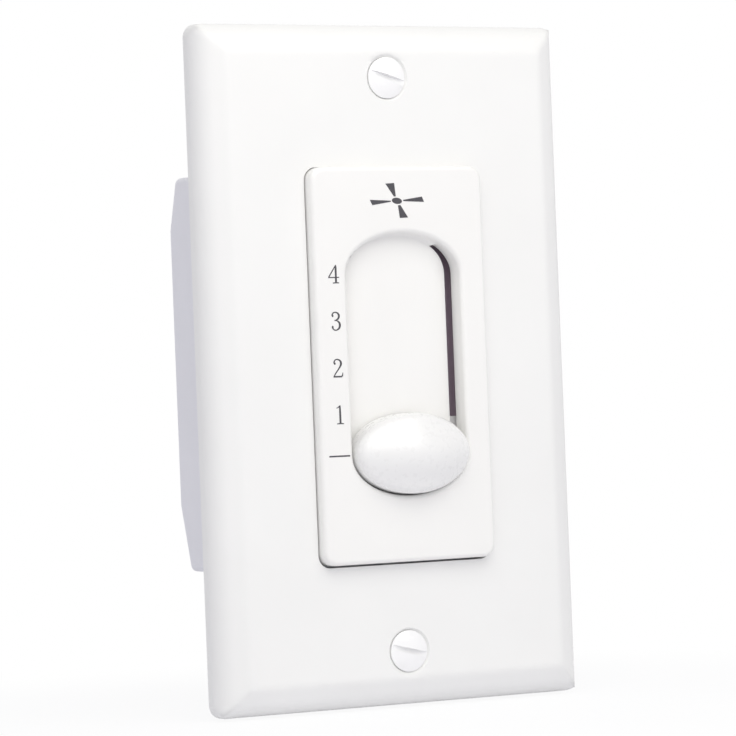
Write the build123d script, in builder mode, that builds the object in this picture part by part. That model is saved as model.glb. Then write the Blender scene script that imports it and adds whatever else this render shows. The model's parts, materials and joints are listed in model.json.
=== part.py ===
from build123d import *
import os
from math import radians, sqrt, tan

# Ceiling fan wall switch: a slide speed control behind a bevelled wall plate.
# Millimetres. +X is to the right seen from the front, +Z is up, and +Y goes into the wall.
# The origin is the centre of the plate on the wall plane, and a height is a distance in front
# of that plane, towards the viewer, so it lies at Y = -height.

os.makedirs("parts", exist_ok=True)


def level(height):
    """The plane that faces the viewer at this height in front of the wall."""
    return Plane.XZ.offset(height)


# Clearances
slide_gap = 0.2
screw_gap = 0.05
seat_gap = 0.3
over_cut = 1.0
hair = 0.01

# Wall plate
plate_w = 70.0
plate_h = 115.4
plate_depth = 6.5
plate_rim = 3.9
plate_bevel = 4.7
plate_skin = 2.0
plate_corner = 2.3
flat_corner = 1.2
rim_round = 4.5
face_round = 0.9
window_gap = 0.25
window_sag = 0.17
collar_wall = 1.5
collar_depth = 1.8
boss_r = 4.6
boss_len = 1.0

# Screws: places of a one-gang wall box, the plate's oval heads and the box's pan heads
plate_screw_inset = 9.3
screw_step = 6.75
machine_screw_r = 1.75
sink_r = 3.95
sink_angle = 82
plate_head_r = 3.5
plate_head_band = 0.35
plate_head_crown = 0.8
plate_screw_len = 10.8
plate_slot_w = 0.9
plate_slot_depth = 0.75
plate_slot_turns = (-17, -14)
box_head_r = 3.7
box_head_h = 1.9
box_screw_len = 24.2
box_slot_turn = 25
thread_depth = 0.3
pan_edge_share = 0.4
pan_slot_share = 0.22
pan_slot_depth_share = 0.45

# Mounting strap and the insulating sheet on it
strap_t = 1.2
strap_edge = 0.5
strap_over = 5.7
strap_neck_w = 19.0
strap_end = 4.1
strap_corner = 3.0
box_slot_w = 8.0
box_slot_h = 4.2
ear_x = 13.6
ear_r = 4.2
ear_web = 4.0
sheet_t = 0.8
window_side = 1.6
window_end = 4.65
window_corner = 2.0
sheet_inset = 0.5
ground_x = 15.0
ground_drop = 4.5
ground_tab_w = 9.0
ground_hole_r = 1.6

# Face bezel
bezel_w = 33.0
bezel_head_room = 4.7
bezel_corner = 2.2
bezel_proud = 2.2
bezel_wall = 1.5
bezel_slab = 2.0
bezel_round = 0.8
peg_inset_x = 3.9
peg_inset_z = 3.65
peg_r = 1.5
peg_post_r = 2.1
peg_head_r = 2.3
peg_head_h = 0.9
peg_head_taper = 25

# Slide recess: an ellipse swept up and down, with a curved slot along each side
slide_x = 0.6
recess_a = 11.1
recess_b = 7.1
recess_depth = 2.6
recess_round = 0.75
collar_reach = 3.5
collar_t = 1.2
slot_w = 1.3
slot_end_w = 0.6
slot_stop_gap = 0.8
floor_flat = 5.2
floor_t = 1.0
floor_cove = 0.7
bridge_root = 5.95
bridge_reach = 4.65
bridge_flare = 0.25

# Speed positions, counted from OFF
off_step = 7.0
speed_pitch = 7.7
speeds = 4

# Slider knob
knob_gap = 0.3
knob_proud = 5.2
knob_floor_gap = 0.3
knob_sweep_r = 18.0
knob_shoulder = 0.65
knob_shoulder_z = 0.38
knob_waist = 1.95
knob_waist_z = 0.74
knob_edge = 2.75
knob_reach = 1.16
knob_round = 2.2
knob_wall = 1.7
knob_crown = 2.6
leg_w = 0.8
hook_w = 0.5
hook_h = 0.5
leg_gap = 0.1

# Carriage with its wiper and detent
carriage_h = 11.8
carriage_corner = 0.6
core_w = 14.4
core_h = 9.6
core_drop = 2.3
hook_pocket = 0.8
detent_depth = 0.45
detent_notch_r = 0.9
detent_leaf_t = 0.25
detent_pocket = 1.6
detent_half = 4.9
leaf_clear = 0.15
wiper_t = 0.35
wiper_base_h = 4.4
wiper_finger_w = 2.4
wiper_finger_len = 3.0
wiper_x = 4.6
wiper_clear = 0.15
rivet_r = 0.7
rivet_head_r = 1.2
rivet_head_h = 0.3
rivet_depth = 1.6
wiper_rivet_x = 2.4

# Circuit board and what is on its front
board_side_room = 0.7
board_end_room = 7.0
board_t = 1.6
board_drop = 1.4
board_corner = 1.0
contact_t = 0.3
contact_r = 1.6
rail_w = 2.6
rail_over = 2.0
board_screw_r = 1.1
board_screw_len = 7.6
board_head_r = 2.0
board_head_h = 1.0
board_slot_turn = 40

# Rear housing
housing_w = 45.0
housing_top_room = 7.65
housing_bottom_room = 7.15
housing_depth = 33.3
housing_wall = 1.8
housing_round = 1.2
top_slope_z = 9.0
top_slope_y = 2.9
bottom_slope_z = 11.5
bottom_slope_y = 3.3
corner_inset_x = 3.1
corner_inset_z = 3.7
corner_boss_r = 2.5
corner_boss_len = 11.0
housing_screw_r = 1.3
housing_screw_len = 9.4
screw_tip_room = 1.8
housing_head_r = 2.2
housing_head_h = 1.2
housing_slot_turn = 30
post_inset_x = 3.0
post_inset_z = 5.5
post_r = 2.3
outlet_w = 13.0
outlet_h = 6.0
outlet_z = -27.0

# Parts on the back of the board
pin_r = 0.45
pin_inset = 2.5
pin_over = 0.45
part_gap = 0.2
post_room = 1.2
run_cap_h = 20.0
run_cap_d = 21.0
trim_cap_h = 13.0
trim_cap_d = 16.0
cap_round = 1.0
surge_inset = 1.5
surge_h = 6.0
surge_d = 6.5
surge_chamfer = 0.6
side_inset = 3.6
bleed_r = 1.4
bleed_len = 6.5
bleed_z = 5.6
fuse_r = 2.0
fuse_len = 11.0
body_round = 0.35
wire_r = 0.35
wire_over = 1.6
tab_edge = 1.4
tab_w = 6.3
tab_t = 0.8
tab_len = 8.0
tab_chamfer = 1.05
ring_r = 3.2
barrel_r = 1.7
barrel_len = 5.0
ground_head_r = 2.6
ground_tail_r = 2.1
ground_head_h = 0.6

# Places, heights and widths that follow from the sizes above
plate_screw_z = plate_h / 2 - plate_screw_inset
box_screw_z = plate_screw_z - screw_step
travel = off_step + (speeds - 1) * speed_pitch
off_z = -travel / 2
stops = [off_z] + [off_z + off_step + n * speed_pitch for n in range(speeds)]
both_ends = (1, -1)

sheet_front = strap_t + sheet_t
strap_body_w = housing_w - 2 * strap_edge
strap_len = 2 * (plate_screw_z + strap_end)
strap_window_w = core_w + 2 * window_side
strap_window_h = travel + core_h + 2 * window_end

bezel_h = 2 * (box_screw_z - box_head_r - bezel_head_room)
bezel_face = plate_depth + bezel_proud
slab_back = bezel_face - bezel_slab
floor_front = bezel_face - recess_depth
floor_edge = bezel_face - collar_reach
floor_back = floor_edge - floor_t
bezel_in_w = bezel_w - 2 * bezel_wall
bezel_in_h = bezel_h - 2 * bezel_wall
window_w = bezel_w + 2 * window_gap
window_h = bezel_h + 2 * window_gap
peg_x = bezel_w / 2 - peg_inset_x
peg_z = bezel_h / 2 - peg_inset_z
notch_in = detent_notch_r - detent_depth

knob_a = recess_a - knob_gap
knob_b = recess_b - knob_gap
knob_base = floor_front + knob_floor_gap
knob_top = bezel_face + knob_proud
leg_in = knob_a - leg_w
leg_half = knob_b * sqrt(1 - (leg_in / knob_a) ** 2)
carriage_w = bezel_in_w - 2 * slide_gap
carriage_front = floor_back - slide_gap
carriage_back = sheet_front + slide_gap
core_back = carriage_back - core_drop
hook_tip = carriage_back + slide_gap

housing_top = box_screw_z - housing_top_room
housing_bottom = housing_bottom_room - box_screw_z
back_in = housing_depth - housing_wall
corner_boss_x = housing_w / 2 - corner_inset_x
corner_boss_z = housing_top - corner_inset_z
strap_body_h = 2 * (corner_boss_z + strap_over)
ground_z = housing_bottom - ground_drop
ground_tab_h = ground_tab_w / 2 - corner_boss_z - ground_z
board_w = housing_w - 2 * (housing_wall + board_side_room)
board_h = 2 * (housing_top - board_end_room)
board_front = -board_drop
board_back = board_front - board_t
post_x = board_w / 2 - post_inset_x
post_z = board_h / 2 - post_inset_z
wiper_z = -(wiper_base_h / 2 + wiper_finger_len)

part_front = board_back - part_gap
cap_w = 2 * (post_x - post_r - post_room)
pin_x = cap_w / 2 - pin_inset
part_spacing = (board_h - run_cap_h - trim_cap_h - surge_h) / 4
run_cap_z = board_h / 2 - part_spacing - run_cap_h / 2
surge_z = part_spacing + surge_h / 2 - board_h / 2
trim_cap_z = surge_z + surge_h / 2 + part_spacing + trim_cap_h / 2
side_x = board_w / 2 - side_inset
tab_z = tab_edge - board_h / 2



def place(height, x, z):
    """A plane facing the viewer whose own origin is at this point."""
    return Plane(origin=(x, -height, z), x_dir=(1, 0, 0), z_dir=(0, -1, 0))


def turned(x, z):
    """A plane through a turned piece's axis: radius along its x, depth along its y."""
    return Plane(origin=(x, 0, z), x_dir=(1, 0, 0), z_dir=(0, 0, 1))


def pan_screw(x, z, seat, grip, length, thread_r, head_r, head_h, slot_turn):
    """One slotted pan head screw, with a plain neck through what it clamps and then its thread."""
    edge = seat + pan_edge_share * head_h
    with BuildPart() as screw:
        with BuildSketch(turned(x, z)):
            with BuildLine():
                dome = TangentArc((0, -seat - head_h), (head_r, -edge), tangent=(1, 0))
                Polyline(
                    dome @ 1,
                    (head_r, -seat),
                    (thread_r - thread_depth, -seat),
                    (thread_r - thread_depth, grip - seat),
                    (thread_r, grip - seat),
                    (thread_r, length - seat),
                    (0, length - seat),
                    dome @ 0,
                )
            make_face()
        revolve(axis=Axis((x, 0, z), (0, 1, 0)))
        with BuildSketch(place(seat + head_h, x, z)):
            Rectangle(2 * head_r + over_cut, pan_slot_share * head_r, rotation=slot_turn)
        extrude(amount=-pan_slot_depth_share * head_h, mode=Mode.SUBTRACT)
    return screw.part


# Wall plate: a moulded shell with a rolled rim, a broad bevel mitred at its corners and a flat front
bevel_slope = (plate_depth - plate_rim) / plate_bevel
skin_drop = plate_skin * sqrt(1 + bevel_slope**2)
cavity_rim = plate_rim + plate_skin * bevel_slope - skin_drop
cavity_front = plate_depth - plate_skin
cavity_inset = (cavity_front + skin_drop - plate_rim) / bevel_slope
plate_foot = Plane(origin=(0, 0, -plate_h / 2), x_dir=(1, 0, 0), z_dir=(0, 0, 1))
plate_side = Plane(origin=(plate_w / 2, 0, 0), x_dir=(0, 0, 1), z_dir=(-1, 0, 0))

with BuildPart() as wall_plate:
    with BuildSketch(level(0)):
        RectangleRounded(plate_w, plate_h, plate_corner)
    extrude(amount=plate_depth)
    # All that stands outside the rolled section is cut away, along the plate and then across it
    for plane, width, length in ((plate_foot, plate_w, plate_h), (plate_side, plate_h, plate_w)):
        half = width / 2
        with BuildSketch(plane.offset(-over_cut)) as outside:
            with Locations((0, -plate_depth / 2)):
                Rectangle(width + 2 * over_cut, plate_depth + 4 * over_cut)
            with BuildLine():
                Polyline(
                    (-half, 2 * over_cut),
                    (-half, -plate_rim),
                    (plate_bevel - half, -plate_depth),
                    (half - plate_bevel, -plate_depth),
                    (half, -plate_rim),
                    (half, 2 * over_cut),
                    close=True,
                )
            make_face(mode=Mode.SUBTRACT)
            at_rim = outside.vertices().filter_by_position(Axis.Y, -plate_rim - hair, -plate_rim + hair)
            fillet(at_rim, radius=rim_round)
        extrude(amount=length + 2 * over_cut, mode=Mode.SUBTRACT)
    fillet(wall_plate.faces().sort_by(Axis.Y)[0].edges(), radius=face_round)
    # The hollow behind the skin
    with BuildSketch(level(0)):
        RectangleRounded(plate_w - 2 * plate_skin, plate_h - 2 * plate_skin, flat_corner)
    extrude(amount=cavity_rim, mode=Mode.SUBTRACT)
    with BuildSketch(level(cavity_rim)):
        RectangleRounded(plate_w - 2 * plate_skin, plate_h - 2 * plate_skin, flat_corner)
    with BuildSketch(level(cavity_front)):
        RectangleRounded(plate_w - 2 * cavity_inset, plate_h - 2 * cavity_inset, flat_corner)
    loft(mode=Mode.SUBTRACT)
    # Bosses under the screws and a collar round the window
    with BuildSketch(level(cavity_front - boss_len)):
        with GridLocations(1, 2 * plate_screw_z, 1, 2):
            Circle(boss_r)
    extrude(amount=boss_len)
    with BuildSketch(level(cavity_front - collar_depth)):
        with Locations((0, -window_sag)):
            RectangleRounded(window_w + 2 * collar_wall, window_h + 2 * collar_wall, bezel_corner)
    extrude(amount=collar_depth)
    with BuildSketch(level(0)):
        with Locations((0, -window_sag)):
            RectangleRounded(window_w, window_h, bezel_corner)
    extrude(amount=plate_depth, mode=Mode.SUBTRACT)
    with Locations(level(plate_depth)):
        with GridLocations(1, 2 * plate_screw_z, 1, 2):
            CounterSinkHole(machine_screw_r + seat_gap, sink_r, counter_sink_angle=sink_angle)
wall_plate.part.label = "wall_plate"
export_step(wall_plate.part, "parts/wall_plate.step")


# Plate screws: slotted, with an oval countersunk head that seats in the plate
sink_slope = tan(radians(sink_angle / 2))
head_rim = plate_depth - (sink_r - plate_head_r) / sink_slope + screw_gap
head_root = head_rim - (plate_head_r - machine_screw_r) / sink_slope
head_band = head_rim + plate_head_band
head_top = head_band + plate_head_crown
plate_screw_tip = head_rim - plate_screw_len

with BuildPart() as plate_screws:
    for end, slot_turn in zip(both_ends, plate_slot_turns):
        screw_z = end * plate_screw_z
        with BuildSketch(turned(0, screw_z)):
            with BuildLine():
                dome = TangentArc((0, -head_top), (plate_head_r, -head_band), tangent=(1, 0))
                Polyline(
                    dome @ 1,
                    (plate_head_r, -head_rim),
                    (machine_screw_r, -head_root),
                    (machine_screw_r, -plate_screw_tip),
                    (0, -plate_screw_tip),
                    dome @ 0,
                )
            make_face()
        revolve(axis=Axis((0, 0, screw_z), (0, 1, 0)))
        with BuildSketch(place(head_top, 0, screw_z)):
            Rectangle(2 * plate_head_r + over_cut, plate_slot_w, rotation=slot_turn)
        extrude(amount=-plate_slot_depth, mode=Mode.SUBTRACT)
plate_screws.part.label = "plate_screws"
export_step(plate_screws.part, "parts/plate_screws.step")


# Insulating sheet: dark fibre between the bezel and the strap, with the wiper's window
with BuildPart() as insulator_sheet:
    with BuildSketch(level(strap_t)):
        RectangleRounded(bezel_w, bezel_h, bezel_corner)
        with Locations((slide_x, 0)):
            RectangleRounded(
                strap_window_w - 2 * sheet_inset,
                strap_window_h - 2 * sheet_inset,
                window_corner,
                mode=Mode.SUBTRACT,
            )
        with GridLocations(2 * peg_x, 2 * peg_z, 2, 2):
            Circle(peg_r + screw_gap, mode=Mode.SUBTRACT)
    extrude(amount=sheet_t)
insulator_sheet.part.label = "insulator_sheet"
export_step(insulator_sheet.part, "parts/insulator_sheet.step")


# Mounting strap: steel sheet with plaster ears, the wiper's window and the fixing holes
strap_hole_r = machine_screw_r + screw_gap

with BuildPart() as mounting_strap:
    with BuildSketch(level(0)):
        RectangleRounded(strap_body_w, strap_body_h, strap_corner)
        RectangleRounded(strap_neck_w, strap_len, strap_corner)
        with GridLocations(2 * ear_x, 2 * plate_screw_z, 2, 2):
            Circle(ear_r)
        with GridLocations(1, 2 * plate_screw_z, 1, 2):
            Rectangle(2 * ear_x, ear_web)
        with Locations((ground_x, (ground_tab_h - ground_tab_w) / 2 + ground_z)):
            Rectangle(ground_tab_w, ground_tab_h)
        with Locations((slide_x, 0)):
            RectangleRounded(strap_window_w, strap_window_h, window_corner, mode=Mode.SUBTRACT)
        with GridLocations(1, 2 * plate_screw_z, 1, 2):
            Circle(strap_hole_r, mode=Mode.SUBTRACT)
        with GridLocations(1, 2 * box_screw_z, 1, 2):
            SlotOverall(box_slot_w, box_slot_h, mode=Mode.SUBTRACT)
        with GridLocations(2 * peg_x, 2 * peg_z, 2, 2):
            Circle(peg_r + screw_gap, mode=Mode.SUBTRACT)
        with GridLocations(2 * corner_boss_x, 2 * corner_boss_z, 2, 2):
            Circle(housing_screw_r + 2 * screw_gap, mode=Mode.SUBTRACT)
        with Locations((ground_x, ground_z)):
            Circle(ground_hole_r, mode=Mode.SUBTRACT)
    extrude(amount=strap_t)
mounting_strap.part.label = "mounting_strap"
export_step(mounting_strap.part, "parts/mounting_strap.step")


# Box screws
box_screw_size = (
    strap_t,
    strap_t,
    box_screw_len,
    machine_screw_r,
    box_head_r,
    box_head_h,
)
box_screw_pair = [
    pan_screw(0, end * box_screw_z, *box_screw_size, box_slot_turn * end) for end in both_ends
]
with BuildPart() as box_screws:
    add(box_screw_pair)
box_screws.part.label = "box_screws"
export_step(box_screws.part, "parts/box_screws.step")


# Face bezel: the raised insert, its swept oval recess, the crowned floor and the side slots
def swept_oval(semi_a, semi_b, reach):
    """The outline that an upright-standing ellipse sweeps as it slides up and down."""
    Rectangle(2 * semi_a, reach)
    with GridLocations(1, reach, 1, 2):
        Ellipse(semi_a, semi_b)


floor_half = recess_a - slot_w
floor_end = recess_b - slot_end_w
bridge_rise = bridge_flare * recess_a
slot_stop = travel / 2 + leg_half + slot_stop_gap

with BuildPart() as recess_floor:
    # In front view: the inner oval and a bridge at each end, both within the collar. The right
    # slot bends in round the oval's ends, and the left one stops just past the knob's leg
    with BuildSketch(level(floor_back)):
        with Locations((slide_x, 0)):
            swept_oval(floor_half, floor_end, travel)
        for end in both_ends:
            with BuildLine():
                Polyline(
                    (slide_x - bridge_root, end * (travel / 2)),
                    (slide_x + bridge_root, end * (travel / 2)),
                    (slide_x + bridge_root, end * (travel / 2 + bridge_reach)),
                    (slide_x + bridge_root + recess_a, end * (travel / 2 + bridge_reach + bridge_rise)),
                    (slide_x + bridge_root + recess_a, end * bezel_h / 2),
                    (slide_x - bridge_root - recess_a, end * bezel_h / 2),
                    (slide_x - bridge_root - recess_a, end * slot_stop),
                    (slide_x - bridge_root, end * slot_stop),
                    close=True,
                )
            make_face()
    extrude(amount=floor_front - floor_back)
    with BuildSketch(level(floor_back)):
        with Locations((slide_x, 0)):
            swept_oval(recess_a + collar_t, recess_b + collar_t, travel)
    extrude(amount=floor_front - floor_back, mode=Mode.INTERSECT)
    # In section: flat in the middle, rolling off to the slots
    with BuildSketch(Plane.XY.offset(-bezel_h / 2)):
        with BuildLine():
            right = TangentArc(
                (slide_x + floor_flat, -floor_front),
                (slide_x + floor_half, -floor_edge),
                tangent=(1, 0),
            )
            left = TangentArc(
                (slide_x - floor_flat, -floor_front),
                (slide_x - floor_half, -floor_edge),
                tangent=(-1, 0),
            )
            Line(left @ 0, right @ 0)
            Polyline(
                right @ 1,
                (slide_x + floor_half, -floor_back),
                (slide_x - floor_half, -floor_back),
                left @ 1,
            )
        make_face()
    extrude(amount=bezel_h, mode=Mode.INTERSECT)

with BuildPart() as face_bezel:
    with BuildSketch(level(sheet_front)):
        RectangleRounded(bezel_w, bezel_h, bezel_corner)
    extrude(amount=bezel_face - sheet_front)
    fillet(face_bezel.faces().sort_by(Axis.Y)[0].edges(), radius=bezel_round)
    with BuildSketch(level(sheet_front)):
        RectangleRounded(bezel_in_w, bezel_in_h, bezel_corner / 2)
    extrude(amount=slab_back - sheet_front, mode=Mode.SUBTRACT)
    # The recess's wall stands behind the slab like a collar, and the floor hangs in it
    with BuildSketch(level(floor_edge)):
        with Locations((slide_x, 0)):
            swept_oval(recess_a + collar_t, recess_b + collar_t, travel)
    extrude(amount=slab_back - floor_edge)
    with BuildSketch(level(floor_back)):
        with Locations((slide_x, 0)):
            swept_oval(recess_a, recess_b, travel)
    extrude(amount=bezel_face - floor_back, mode=Mode.SUBTRACT)
    fillet(
        face_bezel.faces().sort_by(Axis.Y)[0].inner_wires()[0].edges(),
        radius=recess_round,
    )
    add(recess_floor.part)
    at_floor = face_bezel.edges().filter_by_position(Axis.Y, -floor_front - hair, -floor_front + hair)
    fillet([at_floor.sort_by(Axis.Z)[0], at_floor.sort_by(Axis.Z)[-1]], radius=floor_cove)
    # Corner posts, and pegs that are staked over behind the strap
    with BuildSketch(level(sheet_front)):
        with GridLocations(2 * peg_x, 2 * peg_z, 2, 2):
            Circle(peg_post_r)
    extrude(amount=slab_back - sheet_front)
    with BuildSketch(level(0)):
        with GridLocations(2 * peg_x, 2 * peg_z, 2, 2):
            Circle(peg_r)
    extrude(amount=sheet_front)
    with BuildSketch(level(0)):
        with GridLocations(2 * peg_x, 2 * peg_z, 2, 2):
            Circle(peg_head_r)
    extrude(amount=-peg_head_h, taper=peg_head_taper)
    # Detent notches down the left inner wall, one for OFF and one for each speed
    with BuildSketch(level(sheet_front)):
        for stop in stops:
            with Locations((notch_in - bezel_in_w / 2, stop)):
                Circle(detent_notch_r)
    extrude(amount=floor_back - sheet_front, mode=Mode.SUBTRACT)
face_bezel.part.label = "face_bezel"
export_step(face_bezel.part, "parts/face_bezel.step")


# Slider knob: an oval pebble with a soft level ridge and a shallow hollow above and below it
ridge = [
    (knob_sweep_r - knob_edge, -knob_reach * knob_b),
    (knob_sweep_r - knob_waist, -knob_waist_z * knob_b),
    (knob_sweep_r - knob_shoulder, -knob_shoulder_z * knob_b),
    (knob_sweep_r, 0),
    (knob_sweep_r - knob_shoulder, knob_shoulder_z * knob_b),
    (knob_sweep_r - knob_waist, knob_waist_z * knob_b),
    (knob_sweep_r - knob_edge, knob_reach * knob_b),
]
sweep_centre = (slide_x, knob_sweep_r - knob_top, off_z)
sweep_root = knob_sweep_r - knob_top + knob_base - knob_wall

with BuildPart() as slider_knob:
    with BuildSketch(place(knob_base, slide_x, off_z)):
        Ellipse(knob_a, knob_b)
    extrude(amount=knob_top - knob_base)
    # The crown's upright section, turned about a far axis so that it also curves sideways
    with BuildSketch(Plane(origin=sweep_centre, x_dir=(-1, 0, 0), z_dir=(0, 1, 0))):
        with BuildLine():
            crown = Spline(ridge)
            Polyline(
                crown @ 1,
                (sweep_root, knob_reach * knob_b),
                (sweep_root, -knob_reach * knob_b),
                crown @ 0,
            )
        make_face()
    revolve(
        axis=Axis(sweep_centre, (0, 0, 1)),
        revolution_arc=180,
        mode=Mode.INTERSECT,
    )
    fillet(slider_knob.faces().sort_by(Axis.Y)[0].edges(), radius=knob_round)
    # Cored out from behind
    with BuildSketch(place(knob_base, slide_x, off_z)):
        Ellipse(knob_a - knob_wall, knob_b - knob_wall)
    extrude(amount=knob_top - knob_crown - knob_edge - knob_base, mode=Mode.SUBTRACT)
    # A skirt leg each side, cut from the knob's own oval, with a hook at its end
    with BuildSketch(place(hook_tip, slide_x, off_z)):
        Ellipse(knob_a, knob_b)
        Rectangle(2 * leg_in, 2 * knob_b, mode=Mode.SUBTRACT)
    extrude(amount=knob_base - hook_tip)
    with BuildSketch(place(hook_tip, slide_x, off_z)):
        Ellipse(knob_a, knob_b)
        Rectangle(2 * (leg_in - hook_w), 2 * knob_b, mode=Mode.SUBTRACT)
    extrude(amount=hook_h)
slider_knob.part.label = "slider_knob"
export_step(slider_knob.part, "parts/slider_knob.step")


# Carriage: a plate behind the floor, and a core that carries the wiper through both windows
with BuildPart() as slider_carriage:
    with BuildSketch(place(carriage_back, 0, off_z)):
        RectangleRounded(carriage_w, carriage_h, carriage_corner)
    extrude(amount=carriage_front - carriage_back)
    with BuildSketch(place(core_back, slide_x, off_z)):
        RectangleRounded(core_w, core_h, carriage_corner)
    extrude(amount=core_drop)
    # Slots for the knob's legs, with a wider pocket behind for the hooks
    with BuildSketch(place(carriage_back, slide_x, off_z)):
        Ellipse(knob_a + leg_gap, knob_b + leg_gap)
        Rectangle(2 * (leg_in - leg_gap), 3 * knob_b, mode=Mode.SUBTRACT)
    extrude(amount=carriage_front - carriage_back, mode=Mode.SUBTRACT)
    with BuildSketch(place(carriage_back, slide_x, off_z)):
        Ellipse(knob_a + leg_gap, knob_b + leg_gap)
        Rectangle(2 * (leg_in - hook_w - leg_gap), 3 * knob_b, mode=Mode.SUBTRACT)
    extrude(amount=hook_pocket, mode=Mode.SUBTRACT)
    # Pocket in the left end for the detent leaf
    with BuildSketch(place(carriage_back, detent_pocket / 2 - carriage_w / 2, off_z)):
        Rectangle(detent_pocket, 2 * detent_half + 2 * leg_gap)
    extrude(amount=carriage_front - carriage_back, mode=Mode.SUBTRACT)
    # Blind holes for the wiper's rivets
    with BuildSketch(place(core_back, slide_x, off_z)):
        with GridLocations(2 * wiper_rivet_x, 1, 2, 1):
            Circle(rivet_r)
    extrude(amount=rivet_depth, mode=Mode.SUBTRACT)
slider_carriage.part.label = "slider_carriage"
export_step(slider_carriage.part, "parts/slider_carriage.step")


# Detent leaf: a bowed strip in the carriage's pocket, its crest towards the notched wall
leaf_root = detent_pocket - carriage_w / 2
leaf_crest = leaf_clear - bezel_in_w / 2
leaf_w = carriage_front - carriage_back - 2 * slide_gap

with BuildPart() as detent_spring:
    with BuildSketch(place(carriage_back + slide_gap, 0, off_z)):
        with BuildLine():
            outer = ThreePointArc(
                (leaf_root - detent_leaf_t, -detent_half),
                (leaf_crest, 0),
                (leaf_root - detent_leaf_t, detent_half),
            )
            inner = ThreePointArc(
                (leaf_root, detent_half),
                (leaf_crest + detent_leaf_t, 0),
                (leaf_root, -detent_half),
            )
            Line(outer @ 1, inner @ 0)
            Line(inner @ 1, outer @ 0)
        make_face()
    extrude(amount=leaf_w)
detent_spring.part.label = "detent_spring"
export_step(detent_spring.part, "parts/detent_spring.step")


# Wiper: a flat bridge on the core with two fingers that lean back to the board's contacts
wiper_front = core_back
wiper_back = wiper_front - wiper_t
finger_tip = board_front + contact_t + wiper_clear
finger_foot = off_z + wiper_z
finger_bend = off_z - wiper_base_h / 2

with BuildPart() as wiper_contact:
    with BuildSketch(place(wiper_back, slide_x, off_z)):
        Rectangle(2 * wiper_x + wiper_finger_w, wiper_base_h)
        with GridLocations(2 * wiper_rivet_x, 1, 2, 1):
            Circle(rivet_r, mode=Mode.SUBTRACT)
    extrude(amount=wiper_t)
    for side in both_ends:
        finger_x = slide_x + side * wiper_x
        with BuildSketch(Plane.YZ.offset(finger_x - wiper_finger_w / 2)):
            with BuildLine():
                Polyline(
                    (-wiper_front, finger_bend),
                    (-wiper_back, finger_bend),
                    (-finger_tip, finger_foot + wiper_t),
                    (-finger_tip, finger_foot - wiper_t),
                    (-finger_tip - wiper_t, finger_foot - wiper_t),
                    close=True,
                )
            make_face()
        extrude(amount=wiper_finger_w)
wiper_contact.part.label = "wiper_contact"
export_step(wiper_contact.part, "parts/wiper_contact.step")

with BuildPart() as wiper_rivets:
    with BuildSketch(place(wiper_back, slide_x, off_z)):
        with GridLocations(2 * wiper_rivet_x, 1, 2, 1):
            Circle(rivet_head_r)
    extrude(amount=-rivet_head_h)
    with BuildSketch(place(wiper_back, slide_x, off_z)):
        with GridLocations(2 * wiper_rivet_x, 1, 2, 1):
            Circle(rivet_r)
    extrude(amount=wiper_t + rivet_depth)
wiper_rivets.part.label = "wiper_rivets"
export_step(wiper_rivets.part, "parts/wiper_rivets.step")


# Circuit board: brown phenolic, held on the housing's posts
with BuildPart() as circuit_board:
    with BuildSketch(level(board_back)):
        RectangleRounded(board_w, board_h, board_corner)
        with GridLocations(2 * post_x, 2 * post_z, 2, 2):
            Circle(board_screw_r + screw_gap, mode=Mode.SUBTRACT)
        with Locations((0, run_cap_z), (0, trim_cap_z)):
            with GridLocations(2 * pin_x, 1, 2, 1):
                Circle(pin_r + screw_gap, mode=Mode.SUBTRACT)
    extrude(amount=board_t)
circuit_board.part.label = "circuit_board"
export_step(circuit_board.part, "parts/circuit_board.step")

board_screw_size = (
    board_front,
    board_t,
    board_screw_len,
    board_screw_r,
    board_head_r,
    board_head_h,
)
board_screw_set = [
    pan_screw(side * post_x, end * post_z, *board_screw_size, board_slot_turn * side)
    for side in both_ends
    for end in both_ends
]
with BuildPart() as board_screws:
    add(board_screw_set)
board_screws.part.label = "board_screws"
export_step(board_screws.part, "parts/board_screws.step")


# Fixed contacts: one long rail, and a round contact for each speed
rail_foot = finger_foot - rail_over
rail_len = travel + 2 * rail_over

with BuildPart() as common_rail:
    with BuildSketch(place(board_front, slide_x - wiper_x, rail_foot + rail_len / 2)):
        SlotOverall(rail_len, rail_w, rotation=90)
    extrude(amount=contact_t)
common_rail.part.label = "common_rail"
export_step(common_rail.part, "parts/common_rail.step")

with BuildPart() as speed_contacts:
    for stop in stops[1:]:
        with BuildSketch(place(board_front, slide_x + wiper_x, stop + wiper_z)):
            Circle(contact_r)
        extrude(amount=contact_t)
speed_contacts.part.label = "speed_contacts"
export_step(speed_contacts.part, "parts/speed_contacts.step")


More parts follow.
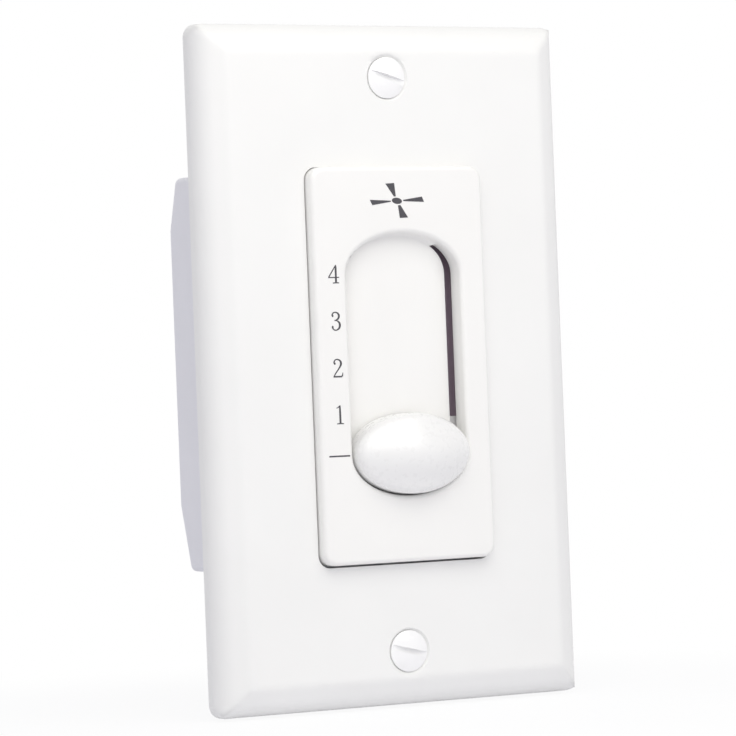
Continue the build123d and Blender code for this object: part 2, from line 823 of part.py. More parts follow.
# Rear housing: a moulded box, open to the strap, with sloped upper and lower back edges
with BuildPart() as rear_housing:
    with BuildSketch(Plane.YZ):
        with BuildLine():
            Polyline(
                (0, housing_bottom),
                (0, housing_top),
                (housing_depth - top_slope_y, housing_top),
                (housing_depth, housing_top - top_slope_z),
                (housing_depth, housing_bottom + bottom_slope_z),
                (housing_depth - bottom_slope_y, housing_bottom),
                close=True,
            )
        make_face()
    extrude(amount=housing_w / 2, both=True)
    mouth = rear_housing.faces().sort_by(Axis.Y)[0]
    fillet(
        [edge for edge in rear_housing.edges() if edge not in mouth.edges()],
        radius=housing_round,
    )
    offset(amount=-housing_wall, openings=rear_housing.faces().sort_by(Axis.Y)[0])
    # Corner bosses for the strap's screws, and posts that carry the board
    with BuildSketch(level(0)):
        with GridLocations(2 * corner_boss_x, 2 * corner_boss_z, 2, 2):
            Circle(corner_boss_r)
    extrude(amount=-corner_boss_len)
    with BuildSketch(level(board_back)):
        with GridLocations(2 * post_x, 2 * post_z, 2, 2):
            Circle(post_r)
    extrude(amount=-(back_in + board_back + housing_wall / 2))
    with BuildSketch(level(0)):
        with GridLocations(2 * corner_boss_x, 2 * corner_boss_z, 2, 2):
            Circle(housing_screw_r + screw_gap)
    extrude(amount=strap_t - housing_screw_len - screw_tip_room, mode=Mode.SUBTRACT)
    with BuildSketch(level(board_back)):
        with GridLocations(2 * post_x, 2 * post_z, 2, 2):
            Circle(board_screw_r + screw_gap)
    extrude(amount=board_t - board_screw_len - screw_tip_room, mode=Mode.SUBTRACT)
    # The outlet for the leads, in the sloped lower back
    with BuildSketch(place(-back_in + outlet_h, 0, outlet_z)):
        SlotOverall(outlet_w, outlet_h)
    extrude(amount=-2 * outlet_h, mode=Mode.SUBTRACT)
rear_housing.part.label = "rear_housing"
export_step(rear_housing.part, "parts/rear_housing.step")

# Housing screws: through the strap's corners into the housing's bosses
housing_screw_size = (
    strap_t,
    strap_t,
    housing_screw_len,
    housing_screw_r,
    housing_head_r,
    housing_head_h,
)
housing_screw_set = [
    pan_screw(
        side * corner_boss_x, end * corner_boss_z, *housing_screw_size, housing_slot_turn * end
    )
    for side in both_ends
    for end in both_ends
]
with BuildPart() as housing_screws:
    add(housing_screw_set)
housing_screws.part.label = "housing_screws"
export_step(housing_screws.part, "parts/housing_screws.step")


# Capacitors: moulded boxes on the back of the board, each with two pins
def boxed_capacitor(size, centre_z):
    """A capacitor box of this width, height and depth, with its pins through the board."""
    width, height, depth = size
    with BuildPart() as capacitor:
        with BuildSketch(place(part_front, 0, centre_z)):
            Rectangle(width, height)
        extrude(amount=-depth)
        fillet(capacitor.edges(), radius=cap_round)
        with BuildSketch(place(part_front - cap_round, 0, centre_z)):
            with GridLocations(2 * pin_x, 1, 2, 1):
                Circle(pin_r)
        extrude(amount=cap_round + part_gap + board_t + pin_over)
    return capacitor.part


with BuildPart() as run_capacitor:
    add(boxed_capacitor((cap_w, run_cap_h, run_cap_d), run_cap_z))
run_capacitor.part.label = "run_capacitor"
export_step(run_capacitor.part, "parts/run_capacitor.step")

with BuildPart() as trim_capacitor:
    add(boxed_capacitor((cap_w, trim_cap_h, trim_cap_d), trim_cap_z))
trim_capacitor.part.label = "trim_capacitor"
export_step(trim_capacitor.part, "parts/trim_capacitor.step")


# Wire-ended parts: a turned body whose leads bend square into the board
def wire_ended(x, z, body_r, body_len):
    """A turned body that stands upright along Z, with a bent lead at each end."""
    axis_y = -part_front + body_r
    lead_end = body_len / 2 + wire_over
    with BuildPart() as body:
        with BuildSketch(Plane(origin=(x, axis_y, z - body_len / 2), z_dir=(0, 0, 1))):
            Circle(body_r)
        extrude(amount=body_len)
        fillet(body.edges(), radius=body_round)
        for end in both_ends:
            with BuildLine():
                FilletPolyline(
                    (x, axis_y, z + end * (body_len / 2 - wire_over / 2)),
                    (x, axis_y, z + end * lead_end),
                    (x, -board_back, z + end * lead_end),
                    radius=2 * wire_r,
                )
            with BuildSketch(
                Plane(
                    origin=(x, axis_y, z + end * (body_len / 2 - wire_over / 2)),
                    z_dir=(0, 0, end),
                )
            ):
                Circle(wire_r)
            sweep()
    return body.part


bleed_pair = [wire_ended(side_x, end * bleed_z, bleed_r, bleed_len) for end in both_ends]
with BuildPart() as bleed_resistors:
    add(bleed_pair)
bleed_resistors.part.label = "bleed_resistors"
export_step(bleed_resistors.part, "parts/bleed_resistors.step")

with BuildPart() as thermal_fuse:
    add(wire_ended(-side_x, 0, fuse_r, fuse_len))
thermal_fuse.part.label = "thermal_fuse"
export_step(thermal_fuse.part, "parts/thermal_fuse.step")

with BuildPart() as surge_resistor:
    with BuildSketch(place(part_front, 0, surge_z)):
        Rectangle(cap_w - 2 * surge_inset, surge_h)
    extrude(amount=-surge_d)
    chamfer(surge_resistor.edges().filter_by(Axis.Y), length=surge_chamfer)
surge_resistor.part.label = "surge_resistor"
export_step(surge_resistor.part, "parts/surge_resistor.step")


# Lead tabs: push-on blades on the back of the board, along its lower edge
with BuildPart() as lead_tabs:
    with BuildSketch(place(board_back, 0, tab_z)):
        with GridLocations(2 * side_x, 1, 2, 1):
            Rectangle(tab_w, tab_t)
    extrude(amount=-tab_len)
    chamfer(lead_tabs.faces().sort_by(Axis.Y)[-2:].edges().filter_by(Axis.Z), length=tab_chamfer)
lead_tabs.part.label = "lead_tabs"
export_step(lead_tabs.part, "parts/lead_tabs.step")


# Ground terminal: a ring tongue with a crimp barrel, riveted to the strap's tab
with BuildPart() as ground_terminal:
    with BuildSketch(place(-tab_t, ground_x, ground_z)):
        Circle(ring_r)
        with Locations((0, -ring_r)):
            Rectangle(barrel_r, 2 * ring_r)
        Circle(ground_hole_r, mode=Mode.SUBTRACT)
    extrude(amount=tab_t)
    with BuildSketch(Plane.XY.offset(ground_z - ring_r - barrel_len)):
        with Locations((ground_x, barrel_r)):
            Circle(barrel_r)
            Circle(barrel_r - tab_t / 2, mode=Mode.SUBTRACT)
    extrude(amount=barrel_len)
ground_terminal.part.label = "ground_terminal"
export_step(ground_terminal.part, "parts/ground_terminal.step")

with BuildPart() as ground_rivet:
    with BuildSketch(place(-tab_t - ground_head_h, ground_x, ground_z)):
        Circle(ground_hole_r - screw_gap)
    extrude(amount=tab_t + strap_t + 2 * ground_head_h)
    with BuildSketch(place(strap_t, ground_x, ground_z)):
        Circle(ground_head_r)
    extrude(amount=ground_head_h)
    with BuildSketch(place(-tab_t, ground_x, ground_z)):
        Circle(ground_tail_r)
    extrude(amount=-ground_head_h)
ground_rivet.part.label = "ground_rivet"
export_step(ground_rivet.part, "parts/ground_rivet.step")
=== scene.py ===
import json
import math

import bmesh
import bpy
from mathutils import Matrix, Vector


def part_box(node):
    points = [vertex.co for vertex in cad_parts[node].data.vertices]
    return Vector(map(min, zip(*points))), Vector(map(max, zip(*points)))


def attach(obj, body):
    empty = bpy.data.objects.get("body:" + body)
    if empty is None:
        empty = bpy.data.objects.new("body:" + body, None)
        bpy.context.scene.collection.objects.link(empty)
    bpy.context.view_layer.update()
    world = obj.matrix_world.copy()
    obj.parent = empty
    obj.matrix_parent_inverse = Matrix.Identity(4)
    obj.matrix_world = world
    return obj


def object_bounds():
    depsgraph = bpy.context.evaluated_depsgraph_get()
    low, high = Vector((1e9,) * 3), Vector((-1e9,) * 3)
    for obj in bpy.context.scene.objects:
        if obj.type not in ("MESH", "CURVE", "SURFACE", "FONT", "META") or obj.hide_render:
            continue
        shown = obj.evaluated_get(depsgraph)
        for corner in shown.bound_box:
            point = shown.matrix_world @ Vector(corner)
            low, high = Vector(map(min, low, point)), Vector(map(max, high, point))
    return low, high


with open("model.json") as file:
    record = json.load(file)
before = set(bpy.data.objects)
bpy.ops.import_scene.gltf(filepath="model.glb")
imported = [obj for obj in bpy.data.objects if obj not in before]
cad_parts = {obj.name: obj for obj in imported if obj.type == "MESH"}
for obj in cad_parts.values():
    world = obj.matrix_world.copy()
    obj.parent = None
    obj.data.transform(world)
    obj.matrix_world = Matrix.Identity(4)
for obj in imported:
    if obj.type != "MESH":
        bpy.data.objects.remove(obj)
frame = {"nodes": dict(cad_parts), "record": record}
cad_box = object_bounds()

nodes = frame["nodes"]
collection = bpy.context.scene.collection
MM = 0.001


# Materials: node trees on the frame's own metres, with no picture in them
def node_material(name):
    """A new material with only a Principled shader: returns it, its node tree and the shader."""
    material = bpy.data.materials.new(name)
    material.use_nodes = True
    tree = material.node_tree
    tree.nodes.clear()
    output = tree.nodes.new("ShaderNodeOutputMaterial")
    shader = tree.nodes.new("ShaderNodeBsdfPrincipled")
    tree.links.new(shader.outputs["BSDF"], output.inputs["Surface"])
    return material, tree, shader


def place_coords(tree, squeeze=(1, 1, 1)):
    """Object coordinates, which are the frame's own metres, times a factor on each axis."""
    coords = tree.nodes.new("ShaderNodeTexCoord")
    mapping = tree.nodes.new("ShaderNodeMapping")
    mapping.inputs["Scale"].default_value = squeeze
    tree.links.new(coords.outputs["Object"], mapping.inputs["Vector"])
    return mapping.outputs["Vector"]


def noise(tree, vector, scale, detail=3.0, rough=0.55):
    """Noise from 0 to 1, with scale features to the metre."""
    texture = tree.nodes.new("ShaderNodeTexNoise")
    texture.inputs["Scale"].default_value = scale
    texture.inputs["Detail"].default_value = detail
    texture.inputs["Roughness"].default_value = rough
    tree.links.new(vector, texture.inputs["Vector"])
    return texture.outputs["Fac"]


def spread(tree, value, low, high):
    """Maps a value from 0-1 to low-high."""
    span = tree.nodes.new("ShaderNodeMapRange")
    span.inputs["To Min"].default_value = low
    span.inputs["To Max"].default_value = high
    tree.links.new(value, span.inputs["Value"])
    return span.outputs["Result"]


def tint(tree, value, low, high, shade, colour):
    """A colour that goes from shade to colour as a value goes from low to high."""
    stops = tree.nodes.new("ShaderNodeValToRGB")
    first, last = stops.color_ramp.elements
    first.position, last.position = low, high
    first.color, last.color = (*shade, 1), (*colour, 1)
    tree.links.new(value, stops.inputs["Fac"])
    return stops.outputs["Color"]


def math_node(tree, operation, *values):
    """The result of a Math node on sockets or floats."""
    node = tree.nodes.new("ShaderNodeMath")
    node.operation = operation
    for socket, value in zip(node.inputs, values):
        if isinstance(value, float):
            socket.default_value = value
        else:
            tree.links.new(value, socket)
    return node.outputs[0]


def rolled_normal(tree, half_x, half_z, back, radius):
    """Normals that shade creases round, where |x| > half_x or |z| > half_z, and y < back."""
    split = tree.nodes.new("ShaderNodeSeparateXYZ")
    tree.links.new(place_coords(tree), split.inputs["Vector"])
    x, y, z = (split.outputs[axis] for axis in "XYZ")
    beside = math_node(tree, "GREATER_THAN", math_node(tree, "ABSOLUTE", x), half_x)
    above = math_node(tree, "GREATER_THAN", math_node(tree, "ABSOLUTE", z), half_z)
    in_front = math_node(tree, "LESS_THAN", y, back)
    rim = math_node(tree, "MULTIPLY", math_node(tree, "MAXIMUM", beside, above), in_front)
    rolled = tree.nodes.new("ShaderNodeBevel")
    rolled.samples = 8
    rolled.inputs["Radius"].default_value = radius
    plain = tree.nodes.new("ShaderNodeNewGeometry")
    pick = tree.nodes.new("ShaderNodeMix")
    pick.data_type = "VECTOR"
    sockets = {socket.identifier: socket for socket in (*pick.inputs, *pick.outputs)}
    tree.links.new(rim, sockets["Factor_Float"])
    tree.links.new(plain.outputs["Normal"], sockets["A_Vector"])
    tree.links.new(rolled.outputs["Normal"], sockets["B_Vector"])
    return sockets["Result_Vector"]


def bump(tree, shader, height, strength, distance, normal=None):
    """Relief from a 0-1 height, distance metres deep, on the shader's normal or a given one."""
    node = tree.nodes.new("ShaderNodeBump")
    if normal is not None:
        tree.links.new(normal, node.inputs["Normal"])
    node.inputs["Strength"].default_value = strength
    node.inputs["Distance"].default_value = distance
    tree.links.new(height, node.inputs["Height"])
    tree.links.new(node.outputs["Normal"], shader.inputs["Normal"])


def moulded(name, colour, shade, rough, grain, depth, coat=0.0, rolled=None):
    """Moulded plastic: a little mottling, uneven gloss and a fine moulded grain."""
    material, tree, shader = node_material(name)
    place = place_coords(tree)
    mottling = noise(tree, place, scale=60.0, detail=2.0)
    base = tint(tree, mottling, 0.3, 0.7, shade, colour)
    tree.links.new(base, shader.inputs["Base Color"])
    fine = noise(tree, place, scale=grain, detail=4.0, rough=0.6)
    tree.links.new(spread(tree, fine, rough - 0.05, rough + 0.05), shader.inputs["Roughness"])
    normal = rolled_normal(tree, *rolled) if rolled else None
    bump(tree, shader, fine, strength=0.25, distance=depth, normal=normal)
    shader.inputs["Coat Weight"].default_value = coat
    shader.inputs["Coat Roughness"].default_value = 0.18
    return material


def metal(name, colour, shade, rough, squeeze_z):
    """Plated or rolled metal: streaks along z, clouds in its colour and uneven gloss."""
    material, tree, shader = node_material(name)
    shader.inputs["Metallic"].default_value = 1.0
    along = place_coords(tree, (1.0, 1.0, squeeze_z))
    streaks = noise(tree, along, scale=900.0, detail=4.0, rough=0.6)
    clouds = noise(tree, place_coords(tree), scale=140.0)
    base = tint(tree, clouds, 0.3, 0.7, shade, colour)
    tree.links.new(base, shader.inputs["Base Color"])
    tree.links.new(spread(tree, streaks, rough - 0.08, rough + 0.1), shader.inputs["Roughness"])
    bump(tree, shader, streaks, strength=0.2, distance=0.00003)
    return material


def enamel(name):
    """White enamel on steel, with a soft sag in its gloss."""
    material, tree, shader = node_material(name)
    place = place_coords(tree)
    wide = noise(tree, place, scale=300.0, detail=2.0)
    base = tint(tree, wide, 0.3, 0.7, (0.93, 0.93, 0.93), (0.95, 0.95, 0.95))
    tree.links.new(base, shader.inputs["Base Color"])
    tree.links.new(spread(tree, wide, 0.16, 0.28), shader.inputs["Roughness"])
    sag = noise(tree, place, scale=700.0, detail=2.0)
    bump(tree, shader, sag, strength=0.15, distance=0.00002)
    shader.inputs["Coat Weight"].default_value = 0.8
    shader.inputs["Coat Roughness"].default_value = 0.1
    return material


def fibre(name, colour, shade, rough):
    """Pressed or laminated fibre board: short matted strands."""
    material, tree, shader = node_material(name)
    matted = place_coords(tree, (1.0, 3.0, 0.35))
    strands = noise(tree, matted, scale=2200.0, detail=5.0, rough=0.7)
    clouds = noise(tree, place_coords(tree), scale=180.0)
    base = tint(tree, strands, 0.25, 0.75, shade, colour)
    tree.links.new(base, shader.inputs["Base Color"])
    tree.links.new(spread(tree, clouds, rough - 0.08, rough + 0.08), shader.inputs["Roughness"])
    bump(tree, shader, strands, strength=0.4, distance=0.00006)
    return material


def printed_ink(name):
    """Dark printing ink, a little worn."""
    material, tree, shader = node_material(name)
    worn = noise(tree, place_coords(tree), scale=2500.0, detail=4.0, rough=0.6)
    base = tint(tree, worn, 0.2, 0.8, (0.055, 0.052, 0.062), (0.075, 0.072, 0.082))
    tree.links.new(base, shader.inputs["Base Color"])
    tree.links.new(spread(tree, worn, 0.45, 0.6), shader.inputs["Roughness"])
    bump(tree, shader, worn, strength=0.2, distance=0.00001)
    return material


# The plate's creases are shaded round over this reach in from its outline, with this radius
CREASE_REACH = 0.0065
CREASE_R = 0.0018
plate_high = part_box("wall_plate")[1]
plate_creases = (
    plate_high.x - CREASE_REACH,
    plate_high.z - CREASE_REACH,
    plate_high.y - CREASE_R,
    CREASE_R,
)

# Each plastic's colour, shade, roughness, grains to the metre and their depth in metres
plastics = {
    "white_plate": ((0.90, 0.90, 0.885), (0.885, 0.885, 0.87), 0.38, 1500.0, 0.00002),
    "white_bezel": ((0.915, 0.91, 0.89), (0.90, 0.895, 0.875), 0.42, 1700.0, 0.00002),
    "white_knob": ((0.885, 0.885, 0.875), (0.87, 0.87, 0.86), 0.28, 900.0, 0.00001),
    "white_nylon": ((0.85, 0.84, 0.85), (0.82, 0.81, 0.82), 0.5, 1300.0, 0.00003),
    "pale_housing": ((0.90, 0.90, 0.94), (0.87, 0.87, 0.91), 0.5, 1100.0, 0.00005),
    "capacitor_case": ((0.045, 0.05, 0.07), (0.03, 0.034, 0.05), 0.4, 1200.0, 0.00004),
    "resistor_body": ((0.42, 0.28, 0.16), (0.34, 0.22, 0.12), 0.35, 1400.0, 0.00003),
    "fuse_body": ((0.66, 0.63, 0.55), (0.60, 0.57, 0.49), 0.55, 1600.0, 0.00003),
    "ceramic_body": ((0.76, 0.75, 0.69), (0.70, 0.69, 0.63), 0.7, 1900.0, 0.00006),
}
plastic_extras = {"white_plate": {"rolled": plate_creases}, "white_knob": {"coat": 0.35}}

# Each metal's colour, shade, roughness and squeeze of its streaks' coordinates along z
metals = {
    "zinc_steel": ((0.62, 0.63, 0.65), (0.52, 0.53, 0.56), 0.34, 0.12),
    "spring_steel": ((0.50, 0.50, 0.52), (0.42, 0.42, 0.45), 0.25, 0.1),
    "contact_brass": ((0.80, 0.60, 0.28), (0.70, 0.50, 0.22), 0.28, 0.2),
}

# Each board's colour, shade and roughness
fibres = {
    "brown_fibre": ((0.50, 0.39, 0.48), (0.43, 0.33, 0.415), 0.7),
    "brown_phenolic": ((0.20, 0.095, 0.04), (0.14, 0.065, 0.03), 0.45),
}

finishes = {"white_enamel": enamel("white_enamel")}
for name, look in plastics.items():
    finishes[name] = moulded(name, *look, **plastic_extras.get(name, {}))
for name, look in metals.items():
    finishes[name] = metal(name, *look)
for name, look in fibres.items():
    finishes[name] = fibre(name, *look)
for part in frame["record"]["subparts"]:
    node = nodes[part["node"]]
    node.data.materials.clear()
    node.data.materials.append(finishes[part["material_slot"]])


def mesh_piece(name, work, material):
    """A linked object from a bmesh, with outward faces and one material."""
    bmesh.ops.recalc_face_normals(work, faces=work.faces)
    mesh = bpy.data.meshes.new(name)
    work.to_mesh(mesh)
    work.free()
    mesh.materials.append(material)
    piece = bpy.data.objects.new(name, mesh)
    collection.objects.link(piece)
    return piece


# Screw threads, wound on the plain shanks behind the strap. The ridge stands THREAD_HIGH over the
# shank and goes THREAD_SUNK into it. Its foot and crest reach FOOT_HALF and CREST_HALF of a pitch
# to each side, and it ends TIP_PITCHES before the screw's tip.
SHANK_R = 0.00175
THREAD_PITCH = 0.0008
THREAD_HIGH = 0.00013
THREAD_SUNK = 0.00006
FOOT_HALF = 0.42
CREST_HALF = 0.06
TIP_PITCHES = 0.6
TURN_STEPS = 32
BOX_SCREW_HEAD_R = 0.0037
PLATE_SCREW_HEAD_R = 0.0035


def thread_piece(name, node, head_r, finish):
    """A helical ridge on each of a node's two screws, from behind the strap to near the tip."""
    low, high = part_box(node)
    strap_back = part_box("mounting_strap")[1].y
    first, last = strap_back + THREAD_PITCH, high.y - TIP_PITCHES * THREAD_PITCH
    count = int((last - first) / THREAD_PITCH * TURN_STEPS)
    work = bmesh.new()
    for axis_z in (low.z + head_r, high.z - head_r):
        before = None
        for k in range(count + 1):
            angle = 2 * math.pi * k / TURN_STEPS
            y = first + THREAD_PITCH * k / TURN_STEPS
            # The ridge rises over its first turn and sinks again over its last
            rise = min(1.0, k / TURN_STEPS, (count - k) / TURN_STEPS)
            foot_r, crest_r = SHANK_R - THREAD_SUNK, SHANK_R + THREAD_HIGH * rise
            rows = (
                (foot_r, y - FOOT_HALF * THREAD_PITCH),
                (crest_r, y - CREST_HALF * THREAD_PITCH),
                (crest_r, y + CREST_HALF * THREAD_PITCH),
                (foot_r, y + FOOT_HALF * THREAD_PITCH),
            )
            ring = [
                work.verts.new((r * math.cos(angle), across, axis_z + r * math.sin(angle)))
                for r, across in rows
            ]
            if before is None:
                work.faces.new(ring)
            else:
                for i in range(len(ring)):
                    j = (i + 1) % len(ring)
                    work.faces.new((before[i], before[j], ring[j], ring[i]))
            before = ring
        work.faces.new(before[::-1])
    piece = mesh_piece(name, work, finishes[finish])
    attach(piece, "switch_body")


thread_piece("box_screw_threads", "box_screws", BOX_SCREW_HEAD_R, "zinc_steel")
thread_piece("plate_screw_threads", "plate_screws", PLATE_SCREW_HEAD_R, "white_enamel")


# Printed marks, drawn in millimetres on the insert's face. The ink stands INK_T metres over it,
# and each further outline of a mark LAYER_STEP of that higher, so that no two faces coincide.
# A pen stroke is at least PEN_LEAST wide and has PEN_STEPS steps from one point to the next.
ink = printed_ink("mark_ink")
face_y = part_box("face_bezel")[0].y
INK_T = 0.00003
LAYER_STEP = 0.1
PEN_LEAST = 0.04
PEN_STEPS = 7


def ink_piece(name, outlines):
    """Flat ink on the insert's face: closed outlines in millimetres, each an (x, z) list."""
    work = bmesh.new()
    for layer, outline in enumerate(outlines):
        proud = INK_T * (1 + LAYER_STEP * layer)
        front = [work.verts.new((x * MM, face_y - proud, z * MM)) for x, z in outline]
        back = [work.verts.new((x * MM, face_y + INK_T, z * MM)) for x, z in outline]
        work.faces.new(front)
        work.faces.new(list(reversed(back)))
        count = len(outline)
        for i in range(count):
            j = (i + 1) % count
            work.faces.new((front[j], front[i], back[i], back[j]))
    piece = mesh_piece(name, work, ink)
    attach(piece, "switch_body")


def stroke(points):
    """Outline of a pen stroke on a smooth line through (x, z, width) points."""
    knots = [Vector(p) for p in points]
    knots = [2 * knots[0] - knots[1]] + knots + [2 * knots[-1] - knots[-2]]
    line = []
    for a, b, c, d in zip(knots, knots[1:], knots[2:], knots[3:]):
        for k in range(PEN_STEPS):
            t = k / PEN_STEPS
            line.append(
                0.5 * (2 * b + (c - a) * t + (2 * a - 5 * b + 4 * c - d) * t * t
                       + (3 * b - a - 3 * c + d) * t ** 3)
            )
    line.append(knots[-2])
    left, right = [], []
    for k, here in enumerate(line):
        along = line[min(k + 1, len(line) - 1)] - line[max(k - 1, 0)]
        side = Vector((-along.y, along.x)).normalized() * max(here.z, PEN_LEAST) / 2
        left.append((here.x + side.x, here.y + side.y))
        right.append((here.x - side.x, here.y - side.y))
    return left + right[::-1]


digits = {
    "digit_4": [
        [(-12.56, 16.90, 0.14), (-12.57, 16.40, 0.34), (-12.58, 15.20, 0.34),
         (-12.60, 13.90, 0.34)],
        [(-12.54, 16.86, 0.16), (-13.26, 15.86, 0.20), (-13.96, 14.86, 0.20)],
        [(-14.02, 14.81, 0.17), (-13.00, 14.81, 0.17), (-11.98, 14.81, 0.17)],
        [(-13.20, 13.88, 0.15), (-12.60, 13.92, 0.20), (-12.02, 13.88, 0.15)],
    ],
    "digit_3": [
        [(-13.50, 8.22, 0.16), (-13.50, 8.42, 0.34), (-13.57, 8.62, 0.24), (-13.32, 8.92, 0.20),
         (-12.93, 9.00, 0.20), (-12.48, 8.80, 0.28), (-12.30, 8.40, 0.36), (-12.46, 7.94, 0.30),
         (-12.86, 7.70, 0.18), (-13.16, 7.65, 0.12)],
        [(-13.16, 7.62, 0.12), (-12.70, 7.58, 0.18), (-12.30, 7.26, 0.32), (-12.18, 6.80, 0.38),
         (-12.36, 6.32, 0.30), (-12.80, 6.04, 0.20), (-13.18, 6.04, 0.19), (-13.48, 6.26, 0.22),
         (-13.56, 6.56, 0.34), (-13.48, 6.76, 0.16)],
    ],
    "digit_2": [
        [(-13.44, 0.26, 0.16), (-13.45, 0.46, 0.34), (-13.58, 0.66, 0.22), (-13.38, 1.02, 0.20),
         (-12.96, 1.15, 0.20), (-12.46, 0.94, 0.28), (-12.26, 0.50, 0.38), (-12.40, 0.02, 0.30),
         (-12.84, -0.58, 0.22), (-13.30, -1.14, 0.20), (-13.66, -1.66, 0.16)],
        [(-13.76, -1.74, 0.24), (-12.90, -1.74, 0.26), (-12.14, -1.74, 0.24)],
        [(-12.14, -1.70, 0.28), (-12.04, -1.42, 0.20), (-11.98, -1.08, 0.08)],
    ],
    "digit_1": [
        [(-12.80, -6.54, 0.26), (-12.79, -7.60, 0.34), (-12.78, -9.50, 0.34)],
        [(-13.46, -6.98, 0.10), (-13.12, -6.86, 0.16), (-12.82, -6.60, 0.20)],
        [(-13.44, -9.60, 0.14), (-12.78, -9.56, 0.20), (-12.14, -9.60, 0.14)],
    ],
}
for name, strokes in digits.items():
    ink_piece(name, [stroke(points) for points in strokes])
# OFF dash
ink_piece("mark_off", [[(-15.15, -15.12), (-11.2, -15.12), (-11.2, -14.87), (-15.15, -14.87)]])

# Fan pictogram: four tapered blades round an oval hub, whose half axes are turned a little
HUB_X, HUB_Z = -0.28, 27.46
HUB_WIDE, HUB_HIGH = 0.98, 0.52
HUB_TURN = -0.12
HUB_STEPS = 40
hub = [
    (
        HUB_X + HUB_WIDE * math.cos(a) * math.cos(HUB_TURN)
        - HUB_HIGH * math.sin(a) * math.sin(HUB_TURN),
        HUB_Z + HUB_WIDE * math.cos(a) * math.sin(HUB_TURN)
        + HUB_HIGH * math.sin(a) * math.cos(HUB_TURN),
    )
    for a in (2 * math.pi * k / HUB_STEPS for k in range(HUB_STEPS))
]
blades = [
    [(-2.40, 30.38), (-0.70, 30.47), (-0.47, 28.20), (-0.82, 28.20)],
    [(-5.50, 27.68), (-1.45, 27.50), (-1.45, 27.32), (-5.06, 26.78)],
    [(0.95, 27.62), (4.58, 28.13), (4.96, 27.23), (0.95, 27.40)],
    [(-0.11, 26.70), (0.35, 26.74), (1.74, 24.64), (0.16, 24.57)],
]
ink_piece("fan_mark", [hub] + blades)


# Camera, fitted to the photograph: its place in metres, its angles, and its focal length in pixels
CAM_PLACE = (-0.3298, -0.5837, -0.0045)
YAW, TILT, ROLL = math.radians(29.3), math.radians(0.35), math.radians(-2.27)
SENSOR_MM = 36.0
FOCAL_PX, PHOTO_PX = 3940.0, 736.0
forward = Vector(
    (math.sin(YAW) * math.cos(TILT), math.cos(YAW) * math.cos(TILT), math.sin(TILT))
)
right = forward.cross(Vector((0, 0, 1))).normalized()
up = right.cross(forward)
right_rolled = math.cos(ROLL) * right + math.sin(ROLL) * up
up_rolled = -math.sin(ROLL) * right + math.cos(ROLL) * up
turn = Matrix((right_rolled, up_rolled, -forward)).transposed()

camera_data = bpy.data.cameras.new("photo_camera")
camera_data.sensor_fit = "HORIZONTAL"
camera_data.sensor_width = SENSOR_MM
camera_data.lens = SENSOR_MM * FOCAL_PX / PHOTO_PX
camera_data.clip_start = 0.01
camera_data.clip_end = 50.0
camera = bpy.data.objects.new("photo_camera", camera_data)
collection.objects.link(camera)
camera.matrix_world = Matrix.Translation(CAM_PLACE) @ turn.to_4x4()
bpy.context.scene.camera = camera
bpy.context.scene.view_settings.view_transform = "Standard"


# Floor, backdrop and light
def seen_ray(tree):
    """1 for camera, glossy and transmission rays, which see the white background."""
    path = tree.nodes.new("ShaderNodeLightPath")
    value = path.outputs["Is Camera Ray"]
    for kind in ("Is Glossy Ray", "Is Transmission Ray"):
        value = math_node(tree, "MAXIMUM", value, path.outputs[kind])
    return value


def mix_shader(tree, share, first, second, output):
    """Sends an output's surface a mix of two shaders."""
    mix = tree.nodes.new("ShaderNodeMixShader")
    for source, socket in zip((share, first, second), mix.inputs):
        tree.links.new(source, socket)
    tree.links.new(mix.outputs[0], output.inputs["Surface"])


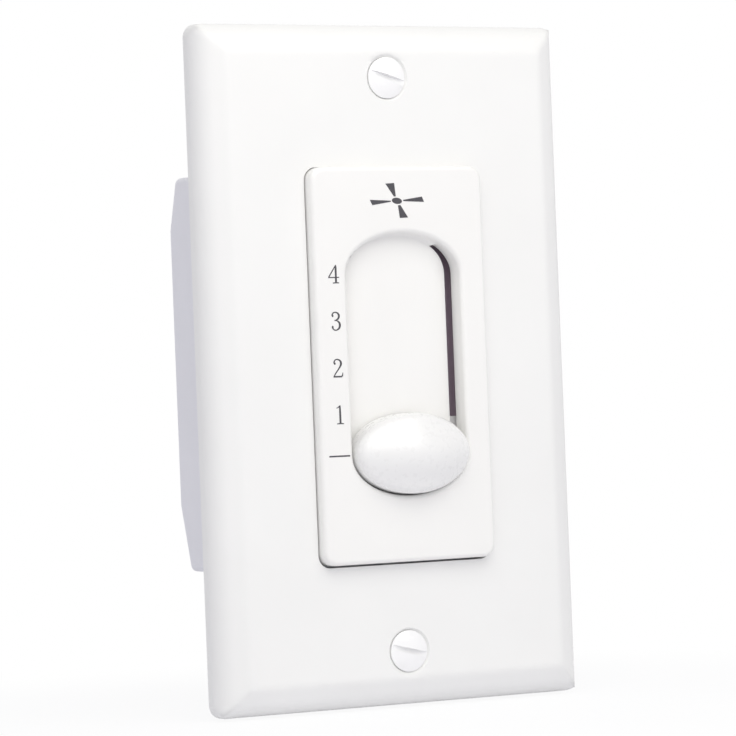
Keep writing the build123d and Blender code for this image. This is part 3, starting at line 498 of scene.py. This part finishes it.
def stage_material(name, colour, least_white, white_from, white_at):
    """A pale floor with a soft shadow.

    The eye sees plain white from white_at metres on, and a share of least_white of it within
    white_from metres.
    """
    material, tree, shader = node_material(name)
    shader.inputs["Base Color"].default_value = (*colour, 1)
    shader.inputs["Roughness"].default_value = 0.9
    shader.inputs["Specular IOR Level"].default_value = 0.1
    glow = tree.nodes.new("ShaderNodeEmission")
    reach = tree.nodes.new("ShaderNodeVectorMath")
    reach.operation = "LENGTH"
    tree.links.new(place_coords(tree), reach.inputs[0])
    white_share = tree.nodes.new("ShaderNodeMapRange")
    white_share.interpolation_type = "SMOOTHSTEP"
    white_share.inputs["From Min"].default_value = white_from
    white_share.inputs["From Max"].default_value = white_at
    white_share.inputs["To Min"].default_value = least_white
    tree.links.new(reach.outputs["Value"], white_share.inputs["Value"])
    shown = math_node(tree, "MULTIPLY", white_share.outputs["Result"], seen_ray(tree))
    output = tree.nodes["Material Output"]
    mix_shader(tree, shown, shader.outputs["BSDF"], glow.outputs[0], output)
    return material


# A square floor, FLOOR_HALF metres to each side and FLOOR_GAP below the part
FLOOR_HALF = 3
FLOOR_GAP = 0.0004
floor_z = cad_box[0][2] - FLOOR_GAP
corners = [
    (x * FLOOR_HALF, y * FLOOR_HALF, floor_z) for x, y in ((-1, -1), (1, -1), (1, 1), (-1, 1))
]
floor_mesh = bpy.data.meshes.new("floor")
floor_mesh.from_pydata(corners, [], [(0, 1, 2, 3)])
floor_mesh.materials.append(
    stage_material(
        "pale_floor", (0.94, 0.94, 0.98), least_white=0.91, white_from=0.07, white_at=0.15
    )
)
plane = bpy.data.objects.new("floor", floor_mesh)
collection.objects.link(plane)

# World: soft, faintly blue light, and white where it is seen
world = bpy.data.worlds.new("studio")
bpy.context.scene.world = world
world.use_nodes = True
sky = world.node_tree
sky.nodes.clear()
sky_out = sky.nodes.new("ShaderNodeOutputWorld")
soft = sky.nodes.new("ShaderNodeBackground")
soft.inputs["Color"].default_value = (0.945, 0.94, 1.0, 1)
soft.inputs["Strength"].default_value = 0.48
white = sky.nodes.new("ShaderNodeBackground")
white.inputs["Color"].default_value = (1, 1, 1, 1)
white.inputs["Strength"].default_value = 1.0
mix_shader(sky, seen_ray(sky), soft.outputs[0], white.outputs[0], sky_out)


def lamp(name, place, target, size, power, colour):
    """A rectangular lamp, in metres and watts, that faces its target."""
    data = bpy.data.lights.new(name, "AREA")
    data.shape = "RECTANGLE"
    data.size, data.size_y = size
    data.energy = power
    data.color = colour
    item = bpy.data.objects.new(name, data)
    collection.objects.link(item)
    item.location = place
    aim = Vector(target) - Vector(place)
    item.rotation_euler = aim.to_track_quat("-Z", "Y").to_euler()


lamp("key", (-0.05, -0.33, 0.33), (0, 0, 0.02), (0.6, 0.4), 1.63, (1.0, 0.99, 0.94))
lamp("fill", (-1.0, -0.4, 0.15), (0, 0, 0), (0.6, 0.8), 0.3, (0.95, 0.94, 1.0))
